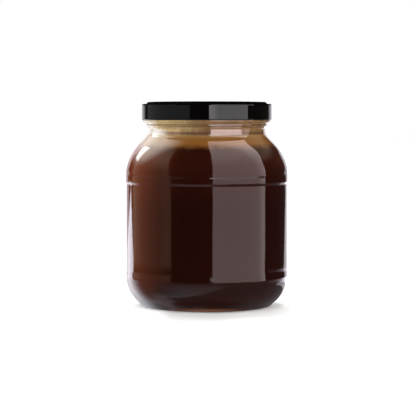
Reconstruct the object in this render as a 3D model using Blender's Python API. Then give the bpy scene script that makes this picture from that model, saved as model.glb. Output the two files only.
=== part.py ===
"""A glass jar of dark honey, closed with a black twist-off lid, standing on its base.

Metres, +Z up. The origin is on the jar's axis, in the plane that the jar stands on.
Every piece is turned round that axis from an outline of (radius, height) points.
"""

import math

import bmesh
import bpy
from mathutils import Vector

MM = 0.001

# Facets round the axis, and how far an outline's chord may stray from its true arc.
FACETS = 48
CHORD_SAG = 0.06 * MM
SHARP_EDGE = math.radians(30)

# Clear space between two pieces that touch on the real jar.
GAP = 0.3 * MM

# Glass, outside, from the base up.
STANDING_RING_INNER = 30.0 * MM
STANDING_RING_EDGE = 2.5 * MM
PUSH_UP = 3.0 * MM
PUSH_UP_STEP = 1.2 * MM
HEEL_RADIUS = 12.7 * MM
HEEL_TOP = 13.8 * MM
HEEL_SLOPE = 45
LOWER_RING_RADIUS = 43.2 * MM
LOWER_RING_TOP = 17.6 * MM
LABEL_PANEL_RADIUS = 43.02 * MM
LABEL_PANEL_BOTTOM = 19.4 * MM
LABEL_PANEL_TOP = 63.6 * MM
UPPER_RING_RADIUS = 43.35 * MM
UPPER_RING_BOTTOM = 65.6 * MM
SHOULDER_FOOT = 69.46 * MM
SHOULDER_RADIUS = 24.0 * MM
SHOULDER_SLOPE = 45
CONE_TOP_RADIUS = 31.4 * MM

# Glass neck, the bead below the lid, and the finish that the lid covers.
NECK_RADIUS = 30.96 * MM
NECK_HEIGHT = 93.1 * MM
NECK_FLARE_RADIUS = 31.25 * MM
NECK_FLARE_HEIGHT = 94.4 * MM
COLLAR_RADIUS = 32.3 * MM
COLLAR_TOP = 97.2 * MM
COLLAR_BOTTOM = 96.2 * MM
BEAD_RADIUS = 34.2 * MM
BEAD_ROUND = 0.75 * MM
BEAD_TOP = 99.3 * MM
FINISH_RADIUS = 31.2 * MM
RIM_TOP = 108.0 * MM
RIM_ROUND = 1.2 * MM

# Glass, inside.
WALL_INNER_RADIUS = 40.7 * MM
MOUTH_RADIUS = 28.6 * MM
FLOOR_CORNER = 8.0 * MM
FLOOR_EDGE = 5.4 * MM
FLOOR_CENTRE = 7.6 * MM

# Raised threads on the finish. The lid's lugs sit under their lower ends.
THREADS = 4
THREAD_SWEEP = math.radians(66)
THREAD_STEPS = 8
THREAD_REACH = 1.3 * MM
THREAD_ROOT = 0.6 * MM
THREAD_ROOT_HEIGHT = 2.2 * MM
THREAD_CREST_HEIGHT = 1.0 * MM
THREAD_START = 102.7 * MM
THREAD_RISE = 2.0 * MM

# Lid: drawn steel sheet with a raised crown round a sunk panel, and a curled lower edge.
LID_SHEET = 0.4 * MM
LID_TOP = 108.8 * MM
LID_BOTTOM = 99.6 * MM
LID_RADIUS = 34.66 * MM
LID_SHOULDER = 1.5 * MM
LID_LEDGE_RADIUS = 32.8 * MM
LID_LEDGE_HEIGHT = 107.75 * MM
LID_CROWN_RADIUS = 31.9 * MM
LID_CROWN_ROUND = 0.8 * MM
LID_CROWN_INNER = 26.6 * MM
LID_PANEL_RADIUS = 25.4 * MM
LID_PANEL_DROP = 0.9 * MM
LID_BUTTON_RADIUS = 11.0 * MM
LID_BUTTON_EDGE = 1.6 * MM
LID_BUTTON_RISE = 0.45 * MM
CURL_RADIUS = 0.6 * MM
CURL_SWEEP = 300
LUG_SWEEP = math.radians(16)
LUG_STEPS = 3
LUG_INNER_RADIUS = 31.75 * MM
LUG_TIP_HEIGHT = 0.7 * MM
LUG_ROOT_HEIGHT = 0.9 * MM
LUG_OFFSET = math.radians(5)

# Contents: dark honey below a pale layer of fine froth.
HONEY_TOP = 85.0 * MM
FROTH_TOP = 90.6 * MM


def arc(centre, radius, start, end):
    """Points of an arc between two angles in degrees, 0 being outward and 90 upward."""
    chord = math.degrees(2 * math.acos(1 - CHORD_SAG / radius))
    chords = math.ceil(abs(end - start) / chord)
    angles = [math.radians(start + (end - start) * i / chords) for i in range(chords + 1)]
    return [(centre[0] + radius * math.cos(a), centre[1] + radius * math.sin(a)) for a in angles]


def at_turn(radius, turn, height):
    """The point at a radius and height, turned round the axis."""
    return Vector((radius * math.cos(turn), radius * math.sin(turn), height))


def new_object(name, bm):
    """Hand a finished mesh to a new object in the scene."""
    mesh = bpy.data.meshes.new(name)
    bm.to_mesh(mesh)
    bm.free()
    piece = bpy.data.objects.new(name, mesh)
    bpy.context.scene.collection.objects.link(piece)
    return piece


def turned(name, outline):
    """Turn an outline round the axis as one solid. It runs down the outer side first.

    Its last point joins its first, and between two points on the axis there is no face.
    """
    bm = bmesh.new()
    rings = []
    for radius, height in outline:
        turns = [2 * math.pi * i / FACETS for i in range(FACETS)] if radius > 0 else [0.0]
        rings.append([bm.verts.new(at_turn(radius, turn, height)) for turn in turns])
    for upper, lower in zip(rings, rings[1:] + rings[:1]):
        if len(upper) == len(lower) == 1:
            continue
        for i in range(FACETS):
            j = (i + 1) % FACETS
            corners = [upper[i % len(upper)], lower[i % len(lower)]]
            corners += [lower[j % len(lower)], upper[j % len(upper)]]
            bm.faces.new(list(dict.fromkeys(corners)))
    return new_object(name, bm)


def bar(name, sections):
    """A closed bar through a row of four-cornered cross-sections."""
    bm = bmesh.new()
    loops = [[bm.verts.new(point) for point in section] for section in sections]
    for first, second in zip(loops, loops[1:]):
        for i in range(4):
            j = (i + 1) % 4
            bm.faces.new([first[i], second[i], second[j], first[j]])
    bm.faces.new(loops[0])
    bm.faces.new(loops[-1])
    bmesh.ops.recalc_face_normals(bm, faces=bm.faces)
    return new_object(name, bm)


def fuse(piece, additions):
    """Join the additions to the piece as one body."""
    for addition in additions:
        union = piece.modifiers.new("fuse", 'BOOLEAN')
        union.operation = 'UNION'
        union.solver = 'EXACT'
        union.object = addition
    depsgraph = bpy.context.evaluated_depsgraph_get()
    fused = bpy.data.meshes.new_from_object(piece.evaluated_get(depsgraph))
    piece.modifiers.clear()
    piece.data = fused
    for addition in additions:
        bpy.data.objects.remove(addition, do_unlink=True)


def finish(piece, colour, roughness, metallic=0.0, transmission=0.0):
    """Shade the piece smooth and give it its own material."""
    material = bpy.data.materials.new(piece.name)
    material.use_nodes = True
    shader = material.node_tree.nodes["Principled BSDF"]
    shader.inputs["Base Color"].default_value = (*colour, 1.0)
    shader.inputs["Roughness"].default_value = roughness
    shader.inputs["Metallic"].default_value = metallic
    shader.inputs["Transmission Weight"].default_value = transmission
    piece.data.materials.clear()
    piece.data.materials.append(material)
    piece.data.shade_smooth()
    piece.data.set_sharp_from_angle(angle=SHARP_EDGE)


def offset(outline, depth):
    """The outline of a sheet's other face, with every corner moved in by the same depth."""
    moved = []
    for i, (radius, height) in enumerate(outline):
        before = outline[max(i - 1, 0)]
        after = outline[min(i + 1, len(outline) - 1)]
        normals = []
        for start, end in ((before, (radius, height)), ((radius, height), after)):
            length = math.dist(start, end)
            if length > 0:
                normals.append(((end[1] - start[1]) / length, (start[0] - end[0]) / length))
        inward = Vector(normals[0]) + Vector(normals[-1])
        step = inward * (2 * depth / inward.length_squared)
        moved.append((radius + step[0], height + step[1]))
    return moved


def shoulder_centre():
    """The centre that the shoulder's outer and inner arcs share."""
    return (UPPER_RING_RADIUS - SHOULDER_RADIUS, SHOULDER_FOOT)


def standing_edge_centre():
    """The centre of the rounding below the heel's straight slope, which it meets in line."""
    slope = math.radians(HEEL_SLOPE)
    foot = arc((LOWER_RING_RADIUS - HEEL_RADIUS, HEEL_TOP), HEEL_RADIUS, 0, -HEEL_SLOPE)[-1]
    ground_crossing = foot[0] - foot[1] / math.tan(slope)
    return (ground_crossing - STANDING_RING_EDGE * math.tan(slope / 2), STANDING_RING_EDGE)


def glass_outside():
    """From the rim down the finish, bead, neck, shoulder, label panel and heel."""
    rim = arc((FINISH_RADIUS - RIM_ROUND, RIM_TOP - RIM_ROUND), RIM_ROUND, 90, 0)
    bead = arc((BEAD_RADIUS - BEAD_ROUND, BEAD_TOP - BEAD_ROUND), BEAD_ROUND, 90, -60)
    shoulder = arc(shoulder_centre(), SHOULDER_RADIUS, SHOULDER_SLOPE, 0)
    cone_top = (CONE_TOP_RADIUS, sum(shoulder[0]) - CONE_TOP_RADIUS)
    heel = arc((LOWER_RING_RADIUS - HEEL_RADIUS, HEEL_TOP), HEEL_RADIUS, 0, -HEEL_SLOPE)
    edge = arc(standing_edge_centre(), STANDING_RING_EDGE, -HEEL_SLOPE, -90)
    neck = [
        (COLLAR_RADIUS, COLLAR_TOP),
        (COLLAR_RADIUS, COLLAR_BOTTOM),
        (NECK_FLARE_RADIUS, NECK_FLARE_HEIGHT),
        (NECK_RADIUS, NECK_HEIGHT),
        cone_top,
    ]
    label_panel = [
        (UPPER_RING_RADIUS, UPPER_RING_BOTTOM),
        (LABEL_PANEL_RADIUS, LABEL_PANEL_TOP),
        (LABEL_PANEL_RADIUS, LABEL_PANEL_BOTTOM),
        (LOWER_RING_RADIUS, LOWER_RING_TOP),
    ]
    return rim + [(FINISH_RADIUS, BEAD_TOP)] + bead + neck + shoulder + label_panel + heel + edge


def glass_underside():
    """The inner edge of the standing ring and the push-up, in to the axis."""
    return [
        (STANDING_RING_INNER, 0.0),
        (STANDING_RING_INNER - PUSH_UP_STEP, PUSH_UP_STEP),
        (STANDING_RING_INNER / 2, PUSH_UP - PUSH_UP_STEP / 4),
        (0.0, PUSH_UP),
    ]


def inner_cone(height, inset):
    """Radius of the cone inside the shoulder at a height, moved in by an inset."""
    centre = shoulder_centre()
    foot = arc(centre, WALL_INNER_RADIUS - centre[0] - inset, SHOULDER_SLOPE, 0)[0]
    return sum(foot) - height


def glass_inside(inset):
    """The inside of shoulder, wall and floor, from the cone's foot down to the axis."""
    centre = shoulder_centre()
    shoulder = arc(centre, WALL_INNER_RADIUS - centre[0] - inset, SHOULDER_SLOPE, 0)
    corner_centre = (WALL_INNER_RADIUS - FLOOR_CORNER, FLOOR_EDGE + FLOOR_CORNER)
    corner = arc(corner_centre, FLOOR_CORNER - inset, 0, -90)
    halfway = (corner_centre[0] / 2, inset + (FLOOR_EDGE + 2 * FLOOR_CENTRE) / 3)
    return shoulder + corner + [halfway, (0.0, FLOOR_CENTRE + inset)]


def make_thread(start_turn):
    """One ridge that climbs a sixth of the way round the finish."""
    sections = []
    for i in range(THREAD_STEPS + 1):
        share = i / THREAD_STEPS
        turn = start_turn + THREAD_SWEEP * share
        height = THREAD_START + THREAD_RISE * share
        taper = min(1.0, 3 * share + 0.3, 3 * (1 - share) + 0.3)
        root = FINISH_RADIUS - THREAD_ROOT
        crest = FINISH_RADIUS + THREAD_REACH * taper
        sections.append([
            at_turn(root, turn, height - THREAD_ROOT_HEIGHT / 2),
            at_turn(crest, turn, height - THREAD_CREST_HEIGHT / 2),
            at_turn(crest, turn, height + THREAD_CREST_HEIGHT / 2),
            at_turn(root, turn, height + THREAD_ROOT_HEIGHT / 2),
        ])
    return bar("thread", sections)


def make_glass():
    """The jar: one wall of clear glass, thick at the base and open at the mouth."""
    inset = 0.0
    mouth_foot = (MOUTH_RADIUS, inner_cone(MOUTH_RADIUS, inset))
    inside = [mouth_foot] + glass_inside(inset)
    mouth = arc((MOUTH_RADIUS + RIM_ROUND, RIM_TOP - RIM_ROUND), RIM_ROUND, 180, 90)
    outline = glass_outside() + glass_underside() + list(reversed(inside)) + mouth
    glass = turned("glass_jar", outline)
    fuse(glass, [make_thread(2 * math.pi * i / THREADS) for i in range(THREADS)])
    finish(glass, (0.90, 0.94, 0.91), 0.03, transmission=1.0)


def lid_outside():
    """From the axis out over button, panel and crown, then down ledge, shoulder and skirt."""
    panel = LID_TOP - LID_PANEL_DROP
    button = panel + LID_BUTTON_RISE
    crown_centre = (LID_CROWN_RADIUS - LID_CROWN_ROUND, LID_TOP - LID_CROWN_ROUND)
    shoulder_middle = (LID_RADIUS - LID_SHOULDER, LID_LEDGE_HEIGHT - LID_SHOULDER)
    return (
        [
            (0.0, button),
            (LID_BUTTON_RADIUS, button),
            (LID_BUTTON_RADIUS + LID_BUTTON_EDGE, panel),
            (LID_PANEL_RADIUS, panel),
            (LID_CROWN_INNER, LID_TOP),
        ]
        + arc(crown_centre, LID_CROWN_ROUND, 90, 30)
        + [(LID_LEDGE_RADIUS, LID_LEDGE_HEIGHT)]
        + arc(shoulder_middle, LID_SHOULDER, 75, 0)
    )


def make_lug(turn):
    """A tab bent in from the curled edge, which grips under a thread."""
    middle = LID_BOTTOM + CURL_RADIUS
    sections = []
    for i in range(LUG_STEPS + 1):
        angle = turn + LUG_SWEEP * i / LUG_STEPS
        root = LID_RADIUS - CURL_RADIUS
        sections.append([
            at_turn(root, angle, middle - LUG_ROOT_HEIGHT / 2),
            at_turn(root, angle, middle + LUG_ROOT_HEIGHT / 2),
            at_turn(LUG_INNER_RADIUS, angle, middle + LUG_TIP_HEIGHT / 2),
            at_turn(LUG_INNER_RADIUS, angle, middle - LUG_TIP_HEIGHT / 2),
        ])
    return bar("lug", sections)


def make_lid():
    """The lid: sheet steel under black lacquer, rolled in at its lower edge."""
    outside = lid_outside()
    curl_centre = (LID_RADIUS - CURL_RADIUS, LID_BOTTOM + CURL_RADIUS)
    curl = arc(curl_centre, CURL_RADIUS, 0, -CURL_SWEEP)
    skirt_inside = (LID_RADIUS - LID_SHEET, LID_BOTTOM + 3 * CURL_RADIUS)
    underside = list(reversed(offset(outside, LID_SHEET)))
    lid = turned("lid", outside + curl + [skirt_inside] + underside)
    fuse(lid, [make_lug(LUG_OFFSET + 2 * math.pi * i / THREADS) for i in range(THREADS)])
    finish(lid, (0.012, 0.012, 0.013), 0.22)


def make_honey():
    """Dark honey up to the pale layer, clear of the glass by the gap."""
    edge = (inner_cone(HONEY_TOP, GAP), HONEY_TOP)
    honey = turned("honey", [(0.0, HONEY_TOP), edge] + glass_inside(GAP))
    finish(honey, (0.055, 0.016, 0.008), 0.12)


def make_froth():
    """The pale layer at the honey's surface, which runs right through the jar."""
    bottom = HONEY_TOP + GAP
    mouth = MOUTH_RADIUS - GAP
    outline = [
        (0.0, FROTH_TOP),
        (mouth, FROTH_TOP),
        (mouth, inner_cone(mouth, GAP)),
        (inner_cone(bottom, GAP), bottom),
        (0.0, bottom),
    ]
    froth = turned("froth", outline)
    finish(froth, (0.42, 0.25, 0.11), 0.35)


for leftover in list(bpy.data.objects):
    bpy.data.objects.remove(leftover, do_unlink=True)

make_glass()
make_lid()
make_honey()
make_froth()
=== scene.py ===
import math

import bmesh
import bpy
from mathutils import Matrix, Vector


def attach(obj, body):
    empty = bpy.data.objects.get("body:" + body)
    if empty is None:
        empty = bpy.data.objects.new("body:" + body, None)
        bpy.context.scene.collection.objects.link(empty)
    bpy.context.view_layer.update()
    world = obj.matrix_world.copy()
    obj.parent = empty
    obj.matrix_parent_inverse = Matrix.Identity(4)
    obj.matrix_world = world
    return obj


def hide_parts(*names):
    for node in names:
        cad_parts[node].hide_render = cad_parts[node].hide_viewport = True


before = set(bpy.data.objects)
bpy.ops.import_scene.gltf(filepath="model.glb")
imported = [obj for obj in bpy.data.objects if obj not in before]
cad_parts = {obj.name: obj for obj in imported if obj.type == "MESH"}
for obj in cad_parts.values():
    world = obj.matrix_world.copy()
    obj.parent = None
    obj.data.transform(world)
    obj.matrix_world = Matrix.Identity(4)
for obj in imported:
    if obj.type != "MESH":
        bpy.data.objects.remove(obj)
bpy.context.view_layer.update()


# The jar. It is blown and pressed in a mould from clear glass: a thick, pushed-up base, a
# label panel sunk between two low rings, a round shoulder, and a mouth with four threads.

MM = 0.001
WHOLE_TURN = 2 * math.pi


def rounded(corners, step=1.5 * MM, turn_step=math.radians(5)):
    """Points along a line through (radius, height, rounding) corners, each with its arc."""
    points = []
    places = [Vector(corner[:2]) for corner in corners]
    for i, (place, corner) in enumerate(zip(places, corners)):
        bend = [place]
        rounding = corner[2]
        if 0 < i < len(corners) - 1 and rounding > 0:
            back = (places[i - 1] - place).normalized()
            ahead = (places[i + 1] - place).normalized()
            turn = math.pi - back.angle(ahead)
            reach = rounding * math.tan(turn / 2)
            centre = place + (back + ahead).normalized() * (rounding / math.cos(turn / 2))
            start = (place + back * reach - centre).normalized()
            end = (place + ahead * reach - centre).normalized()
            parts = max(2, math.ceil(turn / turn_step))
            bend = [centre + rounding * start.slerp(end, j / parts) for j in range(parts + 1)]
        if points:
            run = bend[0] - points[-1]
            parts = max(1, math.ceil(run.length / step))
            points += [points[-1] + run * (j / parts) for j in range(1, parts)]
        points += bend
    return [tuple(point) for point in points]


def turned(name, outline, facets, swell=None):
    """A closed skin from an outline turned round the axis; swell moves a point outward."""
    bm = bmesh.new()
    rings = []
    for radius, height in outline:
        off_axis = radius > 1e-7
        ring = []
        for i in range(facets if off_axis else 1):
            turn = WHOLE_TURN * i / facets
            reach = radius + (swell(turn, radius, height) if swell and off_axis else 0.0)
            ring.append(bm.verts.new((reach * math.cos(turn), reach * math.sin(turn), height)))
        rings.append(ring)
    for upper, lower in zip(rings, rings[1:] + rings[:1]):
        if len(upper) == len(lower) == 1:
            continue
        for i in range(facets):
            j = (i + 1) % facets
            corners = [upper[i % len(upper)], lower[i % len(lower)]]
            corners += [lower[j % len(lower)], upper[j % len(upper)]]
            bm.faces.new(list(dict.fromkeys(corners)))
    bmesh.ops.recalc_face_normals(bm, faces=bm.faces)
    return new_piece(name, bm)


def new_piece(name, bm):
    """Put a finished mesh into the scene as a smooth piece that rides on the jar's body."""
    mesh = bpy.data.meshes.new(name)
    bm.to_mesh(mesh)
    bm.free()
    mesh.shade_smooth()
    mesh.set_sharp_from_angle(angle=math.radians(40))
    piece = bpy.data.objects.new(name, mesh)
    bpy.context.scene.collection.objects.link(piece)
    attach(piece, "root")
    return piece


class Socket:
    """The output of a shader node, which Python sums and products carry on from."""

    def __init__(self, finish, output):
        self.finish = finish
        self.output = output

    def maths(self, operation, *terms):
        return self.finish.node('ShaderNodeMath', {"operation": operation}, dict(enumerate(terms)))

    def __add__(self, other):
        return self.maths('ADD', self, other)

    def __sub__(self, other):
        return self.maths('SUBTRACT', self, other)

    def __rsub__(self, other):
        return self.maths('SUBTRACT', other, self)

    def __mul__(self, other):
        return self.maths('MULTIPLY', self, other)

    __radd__ = __add__
    __rmul__ = __mul__

    def stepped(self, low, high):
        """0 below low, 1 above high, and smooth between them."""
        return self.finish.node(
            'ShaderNodeMapRange',
            {"interpolation_type": 'SMOOTHSTEP'},
            {"Value": self, "From Min": low, "From Max": high},
        )


class Finish:
    """The nodes of one material, or of the studio that surrounds the jar."""

    def __init__(self, tree):
        self.tree = tree
        tree.nodes.clear()

    def node(self, kind, settings, sockets, output=0):
        """Add a node: its settings first, then a value or a link for each named socket."""
        made = self.tree.nodes.new(kind)
        for name, value in settings.items():
            setattr(made, name, value)
        for name, value in sockets.items():
            if isinstance(value, Socket):
                self.tree.links.new(value.output, made.inputs[name])
            elif isinstance(value, tuple) and len(value) == 3 and made.inputs[name].type == 'RGBA':
                made.inputs[name].default_value = (*value, 1.0)
            else:
                made.inputs[name].default_value = value
        return Socket(self, made.outputs[output]) if made.outputs else None

    def place(self, stretch=(1.0, 1.0, 1.0)):
        """The point on the surface in millimetres, stretched along each axis."""
        spot = self.node('ShaderNodeTexCoord', {}, {}, "Object")
        scale = tuple(1000 * share for share in stretch)
        return self.node('ShaderNodeVectorMath', {"operation": 'MULTIPLY'}, {0: spot, 1: scale})

    def mottle(self, grain, stretch=(1.0, 1.0, 1.0), detail=2.0, distortion=0.0):
        """Cloudy noise from 0 to 1 whose patches are about the grain across, in millimetres."""
        return self.node(
            'ShaderNodeTexNoise',
            {},
            {
                "Vector": self.place(stretch),
                "Scale": 1 / grain,
                "Detail": detail,
                "Distortion": distortion,
            },
        )

    def blend(self, share, first, second):
        """A colour between two colours."""
        return self.node(
            'ShaderNodeMix', {"data_type": 'RGBA'}, {0: share, 6: first, 7: second}, 2
        )

    def relief(self, pattern, depth):
        """The surface normal of a pattern that stands up by the depth."""
        return self.node(
            'ShaderNodeBump', {}, {"Height": pattern, "Distance": depth, "Strength": 1.0}
        )

    def surface(self, **sockets):
        """End the material in one surface shader."""
        named = {name.replace("_", " "): value for name, value in sockets.items()}
        shader = self.node('ShaderNodeBsdfPrincipled', {}, named)
        self.node('ShaderNodeOutputMaterial', {}, {"Surface": shader})


def new_finish(piece):
    """Start the piece's own material and return its nodes."""
    material = bpy.data.materials.new(piece.name)
    material.use_nodes = True
    piece.data.materials.append(material)
    return Finish(material.node_tree)


# Sizes in millimetres. On the 45 degree cone, radius and height add up to one sum.
FINE_FACETS = 256
RIM_TOP = 108.0
FINISH_RADIUS = 31.2
MOUTH_RADIUS = 28.6
RIM_MIDDLE = MOUTH_RADIUS + 1.3
BEAD_TOP = 99.3
BEAD_RADIUS = 34.2
COLLAR_RADIUS = 32.3
NECK_RADIUS = 31.0
CONE_SUM = 122.75
BODY_RADIUS = 43.35
HEEL_RADIUS = 43.2

glass_outside = [
    (RIM_MIDDLE, RIM_TOP, 0.0),
    (FINISH_RADIUS, RIM_TOP, 1.2),
    (FINISH_RADIUS, BEAD_TOP, 0.4),
    (BEAD_RADIUS, BEAD_TOP, 0.7),
    (BEAD_RADIUS, 98.1, 0.75),
    (COLLAR_RADIUS, 97.2, 0.35),
    (COLLAR_RADIUS, 96.1, 0.5),
    (NECK_RADIUS, 95.0, 1.0),
    (NECK_RADIUS, CONE_SUM - NECK_RADIUS, 6.5),
    (BODY_RADIUS, CONE_SUM - BODY_RADIUS, 24.0),
    (BODY_RADIUS, 66.4, 0.3),
    (43.02, 65.2, 0.4),
    (43.06, 19.2, 0.5),
    (HEEL_RADIUS, 16.0, 0.5),
    (HEEL_RADIUS, 8.4, 17.0),
    (34.8, 0.0, 2.5),
    (30.0, 0.0, 0.9),
    (28.8, 1.2, 0.9),
    (15.0, 2.7, 60.0),
    (0.0, 3.0, 0.0),
]

INNER_CONE_SUM = 119.0
INNER_SHOULDER_ROUNDING = 21.35
WALL_INNER_RADIUS = 40.7
FLOOR_RADIUS = 32.7
FLOOR_EDGE = 5.4
FLOOR_HALFWAY = 6.87
FLOOR_MIDDLE = 7.6

glass_inside = [
    (0.0, FLOOR_MIDDLE, 0.0),
    (FLOOR_RADIUS / 2, FLOOR_HALFWAY, 40.0),
    (FLOOR_RADIUS, FLOOR_EDGE, 4.0),
    (WALL_INNER_RADIUS, FLOOR_EDGE, 7.9),
    (WALL_INNER_RADIUS, INNER_CONE_SUM - WALL_INNER_RADIUS, INNER_SHOULDER_ROUNDING),
    (MOUTH_RADIUS, INNER_CONE_SUM - MOUTH_RADIUS, 2.5),
    (MOUTH_RADIUS, RIM_TOP, 1.2),
    (RIM_MIDDLE, RIM_TOP, 0.0),
]


def in_metres(corners):
    """The same corners in metres."""
    return [tuple(MM * value for value in corner) for corner in corners]


THREADS = 4
THREAD_SWEEP = math.radians(66)
THREAD_START = 102.7 * MM
THREAD_RISE = 2.0 * MM
THREAD_REACH = 1.3 * MM
THREAD_HALF_HEIGHT = 1.1 * MM
INNER_WAVE = 0.05 * MM
OUTER_WAVE = 0.012 * MM
ON_FINISH = 0.05 * MM
WAVY_ABOVE = 12 * MM


def glass_swell(turn, radius, height):
    """Threads on the finish, and the faint waviness that the mould leaves in the wall."""
    if abs(radius - FINISH_RADIUS * MM) < ON_FINISH and height > (BEAD_TOP + 0.5) * MM:
        share = (turn % (WHOLE_TURN / THREADS)) / THREAD_SWEEP
        if share > 1:
            return 0.0
        taper = min(1.0, 4 * share, 4 * (1 - share))
        off = abs(height - THREAD_START - THREAD_RISE * share) / THREAD_HALF_HEIGHT
        return THREAD_REACH * taper * (1 - min(1.0, off) ** 2) ** 2
    inner = radius < (WALL_INNER_RADIUS + 0.01) * MM
    amount = INNER_WAVE if inner and height > WAVY_ABOVE else OUTER_WAVE
    return amount * (
        math.sin(3 * turn + 90 * height) + 0.6 * math.sin(7 * turn - 160 * height + 1.3)
    )


outline = rounded(in_metres(glass_outside), 0.8 * MM)
outline += rounded(in_metres(glass_inside))[:-1]
glass = turned("glass", outline, FINE_FACETS, glass_swell)

CLEAR = (0.975, 0.985, 0.985)
GREENER = (0.955, 0.975, 0.965)

clear_glass = new_finish(glass)
smears = clear_glass.mottle(9.0, detail=4.0)
clear_glass.surface(
    Base_Color=clear_glass.blend(smears, CLEAR, GREENER),
    Roughness=0.03 * smears.stepped(0.5, 0.8),
    IOR=1.5,
    Transmission_Weight=1.0,
    Normal=clear_glass.relief(clear_glass.mottle(14.0, detail=1.0), 0.004 * MM),
)
glass.visible_shadow = False
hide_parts("glass_jar")


# The honey. Dark forest honey, poured hot into the jar. It wets the glass everywhere, so its
# skin is the inside of the wall, and its top runs into the paler layer of froth.

FACETS = 192
INTO_WALL = 0.15
HONEY_TOP = 85.0
HONEY_TOP_RADIUS = INNER_CONE_SUM - HONEY_TOP + INTO_WALL

honey_outline = in_metres([
    (0.0, HONEY_TOP, 0.0),
    (HONEY_TOP_RADIUS, HONEY_TOP, 0.0),
    (
        WALL_INNER_RADIUS + INTO_WALL,
        INNER_CONE_SUM - WALL_INNER_RADIUS,
        INNER_SHOULDER_ROUNDING,
    ),
    (WALL_INNER_RADIUS + INTO_WALL, FLOOR_EDGE - INTO_WALL, 8.0),
    (FLOOR_RADIUS, FLOOR_EDGE - INTO_WALL, 4.0),
    (FLOOR_RADIUS / 2, FLOOR_HALFWAY - INTO_WALL, 40.0),
    (0.0, FLOOR_MIDDLE - INTO_WALL, 0.0),
])
honey = turned("dark_honey", rounded(honey_outline), FACETS)

DEEP_HONEY = (0.160, 0.033, 0.0115)
UPPER_HONEY = (0.25, 0.055, 0.019)
PAINTED_AMBER_LIGHT = (0.19, 0.072, 0.034)
PAINTED_RED_LIGHT = (0.012, 0.002, 0.001)
PAINTED_FROTH_LIGHT = (0.21, 0.080, 0.013)
PALE_FROTH = (0.30, 0.23, 0.16)
NO_GLOW = (0.0, 0.0, 0.0)


def height_on(finish):
    """Height above the standing plane in millimetres."""
    return finish.node('ShaderNodeSeparateXYZ', {}, {0: finish.place()}, 2)


def from_axis_on(finish, widening=1.0):
    """Distance from the jar's axis in millimetres; widening makes sideways ones longer."""
    spot = finish.place((widening, 1.0, 0.0))
    return finish.node('ShaderNodeVectorMath', {"operation": 'LENGTH'}, {0: spot}, 1)


def frothing(finish):
    """Share of froth at a height: fine streaks of bubbles that rise out of the honey."""
    streaks = finish.mottle(2.2, (1.0, 1.0, 0.12), detail=3.0)
    return (height_on(finish) + 3.0 * streaks).stepped(HONEY_TOP - 0.8, HONEY_TOP + 3.0)


syrup = new_finish(honey)
drift = syrup.mottle(16.0, (1.0, 1.0, 0.4))
froth_share = frothing(syrup)
level = height_on(syrup)
# Painted light: low in the honey an amber glow where light would come up through the thick base,
# redder away from the axis, and at its top the froth's painted warm glow.
painted_base_light = syrup.blend(from_axis_on(syrup).stepped(9.0, 22.0), PAINTED_AMBER_LIGHT, PAINTED_RED_LIGHT)
painted_low_light = syrup.blend(level.stepped(6.0, 10.0), painted_base_light, NO_GLOW)
body = syrup.blend((level + 8.0 * drift).stepped(54.0, 82.0), DEEP_HONEY, UPPER_HONEY)
syrup.surface(
    Base_Color=syrup.blend(froth_share, body, PALE_FROTH),
    Roughness=0.35 + 0.2 * drift,
    Specular_IOR_Level=0.0,
    Emission_Color=syrup.blend(froth_share, painted_low_light, PAINTED_FROTH_LIGHT),
    Emission_Strength=1.0,
)
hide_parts("honey")


# The froth. Fine air bubbles that rise out of the honey as it cools and stand on it as a
# pale layer, thickest against the glass.

FROTH_TOP = 89.5
PAINTED_PALE_FROTH_LIGHT = (0.25, 0.135, 0.045)

froth_outline = in_metres([
    (0.0, FROTH_TOP, 0.0),
    (MOUTH_RADIUS - 2.5, FROTH_TOP, 2.0),
    (MOUTH_RADIUS + 0.3, FROTH_TOP + 1.1, 0.0),
    (MOUTH_RADIUS + 0.9, FROTH_TOP + 0.15, 0.0),
    (HONEY_TOP_RADIUS, HONEY_TOP, 0.0),
    (0.0, HONEY_TOP, 0.0),
])
froth = turned("froth_layer", rounded(froth_outline), FACETS)

foam = new_finish(froth)
bubbles = foam.mottle(1.3, (1.0, 1.0, 0.5), detail=3.0)
froth_share = frothing(foam)
# Painted light: the froth gives off a warm glow in place of light scattered through its bubbles,
# paler higher up.
painted_foam_light = foam.blend(height_on(foam).stepped(87.5, 90.5), PAINTED_FROTH_LIGHT, PAINTED_PALE_FROTH_LIGHT)
foam.surface(
    Base_Color=foam.blend(froth_share, UPPER_HONEY, PALE_FROTH),
    Roughness=0.4 + 0.3 * bubbles,
    Specular_IOR_Level=0.0,
    Emission_Color=foam.blend(froth_share * (0.8 + 0.4 * bubbles), NO_GLOW, painted_foam_light),
    Emission_Strength=1.0,
    Normal=foam.relief(bubbles, 0.15 * MM),
)
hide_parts("froth")


# The film on the neck. Honey that ran down inside the mouth after filling and left a thin
# golden skin on the glass above the froth. Its gold is painted light that it gives off, lit on
# the left and shaded on the right, with painted white highlights and darker bands at two heights.

FILM_TOP = 103.0
FILM_FOOT = FROTH_TOP + 1.2
FILM_DEPTH = 0.35
FILM_OUTER = MOUTH_RADIUS + INTO_WALL

film_outline = in_metres([
    (FILM_OUTER, FILM_TOP, 0.0),
    (FILM_OUTER, 94.8, 1.5),
    (FILM_OUTER + 0.7, FILM_FOOT, 0.0),
    (MOUTH_RADIUS - FILM_DEPTH, FILM_FOOT, 0.0),
    (MOUTH_RADIUS - FILM_DEPTH / 2, FILM_TOP, 0.0),
])
film = turned("neck_film", rounded(film_outline), FACETS)

PAINTED_LIT_GOLD = (0.46, 0.31, 0.12)
PAINTED_LIT_PALE_GOLD = (0.66, 0.50, 0.25)
PAINTED_SHADED_GOLD = (0.16, 0.080, 0.030)
PAINTED_SHADED_PALE_GOLD = (0.26, 0.145, 0.062)
DARK_BAND_COLOUR = (0.075, 0.038, 0.016)
GREY_PAINTED_HIGHLIGHT = (0.72, 0.66, 0.60)
WHITE_PAINTED_HIGHLIGHT = (0.95, 0.92, 0.92)

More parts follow.
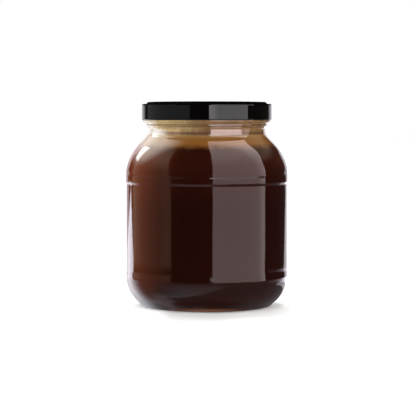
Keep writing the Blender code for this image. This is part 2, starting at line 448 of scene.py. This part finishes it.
gold = new_finish(film)
runs = gold.mottle(3.0, (1.0, 1.0, 0.45), detail=3.0, distortion=0.6)
sideways = gold.node('ShaderNodeSeparateXYZ', {}, {0: gold.place()}, 0)
level = height_on(gold)
# The painted light is darker in two level bands, and the upper band also has less gloss.
dark_line = level.stepped(96.2, 96.6) * (1 - level.stepped(97.0, 97.5)) * 0.7
dark_foot = 0.75 * level.stepped(90.6, 91.2) * (1 - level.stepped(92.4, 93.4))
# Painted highlights: white patches low on the left of the neck, and a fainter strip further left.
painted_highlight_mask = (1 - sideways.stepped(-24.5, -18.5)) * (1 - level.stepped(93.0, 95.5))
painted_highlight_mask = painted_highlight_mask + (1 - sideways.stepped(-28.0, -24.5)) * 0.35

# Painted light: a lit gold copy of the film on the left and a shaded brown copy on the right.
painted_lit_film = gold.blend(runs.stepped(0.3, 0.7), PAINTED_LIT_GOLD, PAINTED_LIT_PALE_GOLD)
painted_shaded_film = gold.blend(runs.stepped(0.3, 0.7), PAINTED_SHADED_GOLD, PAINTED_SHADED_PALE_GOLD)
painted_highlight_colour = gold.blend(runs.stepped(0.35, 0.65), GREY_PAINTED_HIGHLIGHT, WHITE_PAINTED_HIGHLIGHT)
painted_film_light = gold.blend(sideways.stepped(-28.0, 2.0), painted_lit_film, painted_shaded_film)
painted_film_light = gold.blend(dark_line + dark_foot, painted_film_light, DARK_BAND_COLOUR)
painted_film_light = gold.blend(painted_highlight_mask, painted_film_light, painted_highlight_colour)
gold.surface(
    Base_Color=(0.10, 0.07, 0.04),
    Roughness=0.30 + 0.2 * runs,
    Specular_IOR_Level=0.0,
    Emission_Color=painted_film_light,
    Emission_Strength=1.08,
    Coat_Weight=(1 - dark_line) * (1 - sideways.stepped(17.2, 18.2)),
    Coat_Roughness=0.05,
    Coat_IOR=2.6,
    Normal=gold.relief(runs, 0.2 * MM),
)


# The lid. It is drawn from thin steel sheet under glossy black lacquer: a raised crown round
# a sunk panel with a safety button, a short skirt, a rolled edge, and four lugs bent inward
# that grip the threads.

SHEET = 0.4
LID_TOP = 108.8
LID_BOTTOM = 99.05
LID_RADIUS = 34.66
CURL_RADIUS = 0.36
CURL_SWEEP = 300
CURL_STEPS = 25
PANEL_HEIGHT = 107.9
BUTTON_HEIGHT = 108.35
LEDGE_DROP = 0.98
SHOULDER_DROP = 1.1

lid_outside = [
    (0.0, BUTTON_HEIGHT, 0.0),
    (11.0, BUTTON_HEIGHT, 1.5),
    (12.6, PANEL_HEIGHT, 1.5),
    (25.4, PANEL_HEIGHT, 0.8),
    (26.8, LID_TOP, 0.8),
    (31.5, LID_TOP, 0.8),
    (32.3, LID_TOP - LEDGE_DROP, 0.35),
    (LID_RADIUS, LID_TOP - SHOULDER_DROP, 0.8),
    (LID_RADIUS, LID_TOP - SHOULDER_DROP - 1.0, 0.0),
    (LID_RADIUS, LID_BOTTOM + CURL_RADIUS + 0.15, 0.0),
    (LID_RADIUS, LID_BOTTOM + CURL_RADIUS, 0.0),
]
curl_centre = Vector((LID_RADIUS - CURL_RADIUS, LID_BOTTOM + CURL_RADIUS))
curl = [
    tuple(MM * (curl_centre + CURL_RADIUS * Vector((math.cos(angle), -math.sin(angle)))))
    for angle in [math.radians(CURL_SWEEP * i / CURL_STEPS) for i in range(1, CURL_STEPS + 1)]
]
lid_inside = [
    (LID_RADIUS - SHEET, LID_BOTTOM + 3 * CURL_RADIUS, 0.0),
    (LID_RADIUS - SHEET, LID_TOP - 1.05 - SHEET, 1.0),
    (32.2, LID_TOP - LEDGE_DROP - SHEET, 0.3),
    (31.6, LID_TOP - SHEET, 0.5),
    (27.0, LID_TOP - SHEET, 0.8),
    (25.7, PANEL_HEIGHT - SHEET, 0.8),
    (12.4, PANEL_HEIGHT - SHEET, 1.2),
    (10.8, BUTTON_HEIGHT - SHEET, 1.2),
    (0.0, BUTTON_HEIGHT - SHEET, 0.0),
]

LUG_SWEEP = math.radians(16)
LUG_OFFSET = math.radians(5)
LUG_REACH = 2.1


def lug_swell(turn, radius, height):
    """The lugs: short stretches of the rolled edge drawn inward, just above the glass bead."""
    past_edge = LID_RADIUS - CURL_RADIUS - radius / MM
    raised = height / MM - LID_BOTTOM - CURL_RADIUS
    if past_edge <= 0 or not -0.01 < raised < CURL_RADIUS + 0.01:
        return 0.0
    if (turn - LUG_OFFSET) % (WHOLE_TURN / THREADS) > LUG_SWEEP:
        return 0.0
    return -LUG_REACH * MM * min(1.0, 2 * past_edge / CURL_RADIUS)


outline = rounded(in_metres(lid_outside)) + curl + rounded(in_metres(lid_inside))
lid = turned("lid_lacquered", outline, FINE_FACETS, lug_swell)

BLACK_LACQUER = (0.0035, 0.0035, 0.0035)
DUSTY_LACQUER = (0.008, 0.008, 0.0085)

lacquer = new_finish(lid)
peel = lacquer.mottle(0.9)
dust = lacquer.mottle(2.5, detail=6.0).stepped(0.5, 0.8)
on_crown = from_axis_on(lacquer).stepped(30.2, 31.0)
dulled = height_on(lacquer).stepped(107.0, 107.2) * (0.6 + 0.4 * on_crown)
lacquer.surface(
    Base_Color=lacquer.blend(dust, BLACK_LACQUER, DUSTY_LACQUER),
    Roughness=0.4,
    Specular_IOR_Level=0.0,
    Coat_Weight=(1 - dulled) * (1 - 0.08 * dust),
    Coat_Roughness=0.035,
    Coat_IOR=1.5,
    Normal=lacquer.relief(peel, 0.0004 * MM),
)
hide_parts("lid")


# The studio lamps. A low one on the left lights the honey's edge, two hang above and behind
# the jar, and a dim warm one fills in from the front.


def facing(azimuth, elevation):
    """A direction from the jar: azimuth 0 is towards the camera and 90 is to its right."""
    turn, tilt = math.radians(azimuth), math.radians(elevation)
    return Vector((
        math.sin(turn) * math.cos(tilt), -math.cos(turn) * math.cos(tilt), math.sin(tilt)
    ))


def lamp(name, azimuth, elevation, spread, strength, colour):
    """A soft lamp so far off that it lights the jar and the floor evenly."""
    light = bpy.data.lights.new(name, 'SUN')
    light.energy = strength
    light.angle = math.radians(spread)
    light.color = colour
    fitting = bpy.data.objects.new(name, light)
    fitting.rotation_mode = 'QUATERNION'
    fitting.rotation_quaternion = facing(azimuth, elevation).to_track_quat('Z', 'Y')
    fitting.visible_glossy = False
    fitting.visible_transmission = False
    bpy.context.scene.collection.objects.link(fitting)


# Name, azimuth, elevation, spread in degrees, strength and colour.
lamp("low_left_lamp", -118, 3.5, 24, 4.4, (1.0, 0.98, 0.95))
lamp("back_lamp", -174, 68, 22, 1.8, (1.0, 1.0, 1.0))
lamp("top_lamp", -90, 88, 60, 1.0, (1.0, 0.98, 0.96))
lamp("front_lamp", 32, 8, 60, 0.74, (1.0, 0.62, 0.60))


# The floor. A wide sheet of matt white paper that the jar stands on. It gives off a painted
# fill light, stronger on the left, with a painted shadow at the foot of the jar.

FLOOR_REACH = 6.0
FLOOR_DROP = 0.02 * MM

bm = bmesh.new()
bmesh.ops.create_circle(bm, cap_ends=True, radius=FLOOR_REACH, segments=96)
bmesh.ops.translate(bm, verts=bm.verts, vec=(0, 0, -FLOOR_DROP))
sheet = bpy.data.meshes.new("floor")
bm.to_mesh(sheet)
bm.free()
floor = bpy.data.objects.new("floor", sheet)
bpy.context.scene.collection.objects.link(floor)


def grey(value):
    """A neutral colour."""
    return (value, value, value)


paper = new_finish(floor)
beside = paper.node('ShaderNodeSeparateXYZ', {}, {0: paper.place()}, 0)
from_axis = from_axis_on(paper, 1.06)
# Painted light: brighter on the left and dimmer in front, with a painted shadow at the jar's foot.
painted_fill_light = paper.blend(beside.stepped(-27.0, -17.0), grey(1.6), grey(0.85))
painted_fill_light = paper.blend(beside.stepped(0.0, 22.0), painted_fill_light, grey(1.14))
painted_fill_light = paper.blend(from_axis.stepped(34.5, 40.0), grey(0.3), painted_fill_light)
painted_fill_light = paper.blend(from_axis.stepped(60.0, 150.0), painted_fill_light, grey(1.14))
paper.surface(
    Base_Color=paper.blend(paper.mottle(30.0), grey(0.86), grey(0.84)),
    Roughness=0.9,
    Specular_IOR_Level=0.0,
    Emission_Color=painted_fill_light,
    Emission_Strength=0.47,
)
floor.visible_glossy = False
floor.visible_diffuse = False
floor.visible_transmission = False


# The surroundings. Panels of cloth and paper stand round the jar, in front of a white
# backdrop, and the glass and the lacquer mirror them. All angles are in degrees.

world = bpy.data.worlds.new("studio")
world.use_nodes = True
bpy.context.scene.world = world
studio = Finish(world.node_tree)
outward = studio.node('ShaderNodeTexCoord', {}, {}, "Generated")
across, ahead, rise = [
    studio.node('ShaderNodeSeparateXYZ', {}, {0: outward}, axis) for axis in range(3)
]
around = across.maths('ARCTAN2', across, ahead * -1.0) * math.degrees(1)
up = rise.maths('ARCSINE', rise) * math.degrees(1)


def towards(direction):
    """1 in a direction, falling to 0 at right angles to it."""
    return studio.node(
        'ShaderNodeVectorMath', {"operation": 'DOT_PRODUCT'}, {0: outward, 1: direction}, 1
    )


def right_of(low, high, soft=0.008):
    """1 to the right of an edge that runs from one direction to another, 0 to its left."""
    side = facing(*high).cross(facing(*low)).normalized()
    return towards(side).stepped(-soft, soft)


def left_of(low, high, soft=0.008):
    """1 to the left of an edge, 0 to its right."""
    return 1 - right_of(low, high, soft)


def over(angle, low, soft=0.5):
    """1 above an angle, 0 below it."""
    return angle.stepped(low - soft, low + soft)


def within(angle, low, high, soft=0.5):
    """1 between two angles, 0 outside them."""
    return over(angle, low, soft) * (1 - over(angle, high, soft))


def lit(share, colour):
    """Light of one colour where the share is 1."""
    return studio.node(
        'ShaderNodeVectorMath', {"operation": 'SCALE'}, {0: colour, "Scale": share}
    )


def together(*lights):
    """The sum of several lights."""
    total = lights[0]
    for light in lights[1:]:
        total = studio.node('ShaderNodeVectorMath', {"operation": 'ADD'}, {0: total, 1: light})
    return total


# The lid is seen level, so it mirrors a narrow level band of the studio.
band = within(up, -0.45, 1.7, 0.15)
off_band = 1 - band
lid_right = within(around, 4.2, 77, 0.4) * band
lid_left = within(around, -128, -30, 2) * band
lid_back = (1 - around.stepped(-150, -137.5)) * band + around.stepped(140, 150) * band
lid_light = together(
    lit(lid_right, (2.0, 1.95, 2.05)),
    lit(lid_right * (1 - around.stepped(6, 24)), (1.3, 1.25, 1.3)),
    lit(lid_left, (0.25, 0.26, 0.26)),
    lit(lid_back, (0.85, 0.83, 0.88)),
)

# The softbox covers the right from the floor up to overhead, and is brightest high up and at
# its far edge.
far_side = right_of((90.8, -5), (95, 26.5)) * right_of((95.4, 26.5), (113.3, 46.6))
softbox = right_of((8.2, -4), (92, 89)) * (1 - far_side) * off_band
softbox = softbox * over(up - 0.0012 * around, -5.8, 0.04)
softbox_light = together(
    lit(softbox, (1.85, 1.40, 1.40)),
    lit(softbox * up.stepped(-2, 14), (0.2, 0.15, 0.15)),
    lit(softbox * around.stepped(76, 91), (0.9, 0.85, 0.85)),
    lit(softbox * up.stepped(20, 60), (0.9, 0.8, 0.7)),
)

# The panel on the left is dim and warm, and brighter towards its two ends.
side = left_of((-51.3, -5), (-79, 60)) * within(around, -130, 0, 2) * over(up, -5.2, 0.3)
side = side * (1 - over(up, 58, 8)) * off_band
side_light = together(
    lit(side, (0.24, 0.17, 0.13)),
    lit(side * (1 - around.stepped(-128, -118)), (0.0, 0.12, 0.10)),
    lit(side * within(around, -66, 0, 7), (0.30, 0.12, 0.07)),
    lit(side * (1 - around.stepped(-125, -100)), (0.30, 0.18, 0.10)),
    lit(side * up.stepped(8, 40) * around.stepped(-128, -104), (0.8, 0.62, 0.48)),
)

# High on the left, behind the jar, a strip of light shines through a wide haze.
haze = towards(facing(-134, 40)).stepped(0.82, 1.0) * up.stepped(1, 28)
strip = left_of((-125.5, 17), (-129.5, 37), 0.012) * right_of((-138.5, 17), (-147, 27))
strip = strip * over(up, 16.3, 1.5) * right_of((-146, 26.5), (-126, 38.5), 0.02)
right_haze = over(around, 98, 2) * (1 - over(around, 152, 8)) * up.stepped(20, 34)
high_light = together(
    lit(haze, (3.2, 3.4, 3.2)),
    lit(strip, (4.6, 5.2, 5.4)),
    lit(right_haze, (0.62, 0.45, 0.31)),
)

# Behind the jar the backdrop meets the floor. It is brightest on the left, under an edge
# that slants up to the right.
on_floor = 1 - up.stepped(-7.2, -5.9)
under = right_of((-175, -5.9), (-141, -2.6), 0.006)
low_back = left_of((-130.5, -4.6), (-137.5, -2.4), 0.004) * (1 - over(around, -129.5, 1.5))
low_back = low_back * (1 - on_floor) * under * off_band
back_floor = (1 - around.stepped(-144, -108)) * on_floor * (0.04 + 0.76 * up.stepped(-52, -14))
low_back = (low_back + back_floor) * (0.25 + 0.75 * around.stepped(-172, -138))
far_back = (1 - over(around, -149, 2)) * (1 - under) * (1 - over(up, 26, 8)) * off_band
right_back = over(around, 152, 2.5) * within(up, -2.4, 12, 0.5) * off_band
right_foot = right_of((143, -5.5), (155, -2.4), 0.012) * over(around, 120, 2)
right_foot = right_foot * within(up, -14, -2.4, 0.5)
back_light = together(
    lit(low_back, (3.3, 3.35, 3.7)),
    lit(far_back, (0.85, 0.8, 0.85)),
    lit(far_back * over(up, 5, 4), (0.35, 0.33, 0.35)),
    lit(right_back + right_foot, (1.05, 1.0, 1.05)),
)

# The floor is dark close to the jar. It catches light in front of it, on the left at its
# foot, and along the backdrop on the right.
right_floor = over(around, 97, 1) * (1 - over(up, -5.32, 0.12)) * over(up, -9, 1)
lit_floor = left_of((-45, -52), (28, -13), 0.02) * on_floor
lit_floor = lit_floor * (1.9 - up.stepped(-60, -25) * (1.9 - around.stepped(-80, -35)))
lit_floor = lit_floor * (1 - up.stepped(-22, -6))
lit_foot = around.stepped(-142, -126) * (1 - around.stepped(-90, -70))
lit_foot = lit_foot * up.stepped(-66, -58) * (1 - up.stepped(-48, -34))
floor_light = together(
    lit(right_floor, (0.30, 0.22, 0.25)),
    lit(right_floor * around.stepped(106, 152), (1.4, 1.3, 1.6)),
    lit(on_floor * (0.3 + 0.7 * up.stepped(-78, -50)), (0.16, 0.16, 0.165)),
    lit(lit_floor, (0.33, 0.30, 0.31)),
    lit(lit_foot, (0.50, 0.42, 0.46)),
)

# Seen straight on, the surroundings are the white backdrop. Seen through the glass, the
# floor is dim, and matt surfaces take their light from the lamps alone.
DARK_ROOM = (0.05, 0.04, 0.04)
panels = together(
    DARK_ROOM, lid_light, softbox_light, side_light, high_light, back_light, floor_light
)
seen = studio.node('ShaderNodeLightPath', {}, {}, "Is Camera Ray")
through_glass = studio.node('ShaderNodeLightPath', {}, {}, "Is Transmission Ray")
scattered = studio.node('ShaderNodeLightPath', {}, {}, "Diffuse Depth").stepped(0.2, 0.8)
panels = lit(1 - 0.85 * through_glass * (1 - up.stepped(-16, -8)), panels)
surround = studio.blend(scattered, studio.blend(seen, panels, grey(1.0)), grey(0.0))
light = studio.node('ShaderNodeBackground', {}, {"Color": surround, "Strength": 1.0})
studio.node('ShaderNodeOutputWorld', {}, {"Surface": light})
world.cycles_visibility.diffuse = False


# The camera. It stands in front of the jar, level with the lid's lower edge, and looks
# slightly down through a long lens.

CAMERA_PLACE = Vector((0.67, -849.0, 98.0)) * MM
CAMERA_AIM = Vector((0.67, 0.0, 52.1)) * MM
SENSOR_WIDTH = 36.0
FOCAL_LENGTH = 137.2

lens = bpy.data.cameras.new("camera")
lens.sensor_width = SENSOR_WIDTH
lens.lens = FOCAL_LENGTH
camera = bpy.data.objects.new("camera", lens)
camera.location = CAMERA_PLACE
camera.rotation_mode = 'QUATERNION'
camera.rotation_quaternion = (CAMERA_AIM - CAMERA_PLACE).to_track_quat('-Z', 'Y')
bpy.context.scene.collection.objects.link(camera)
bpy.context.scene.camera = camera
bpy.context.scene.view_settings.view_transform = 'Standard'
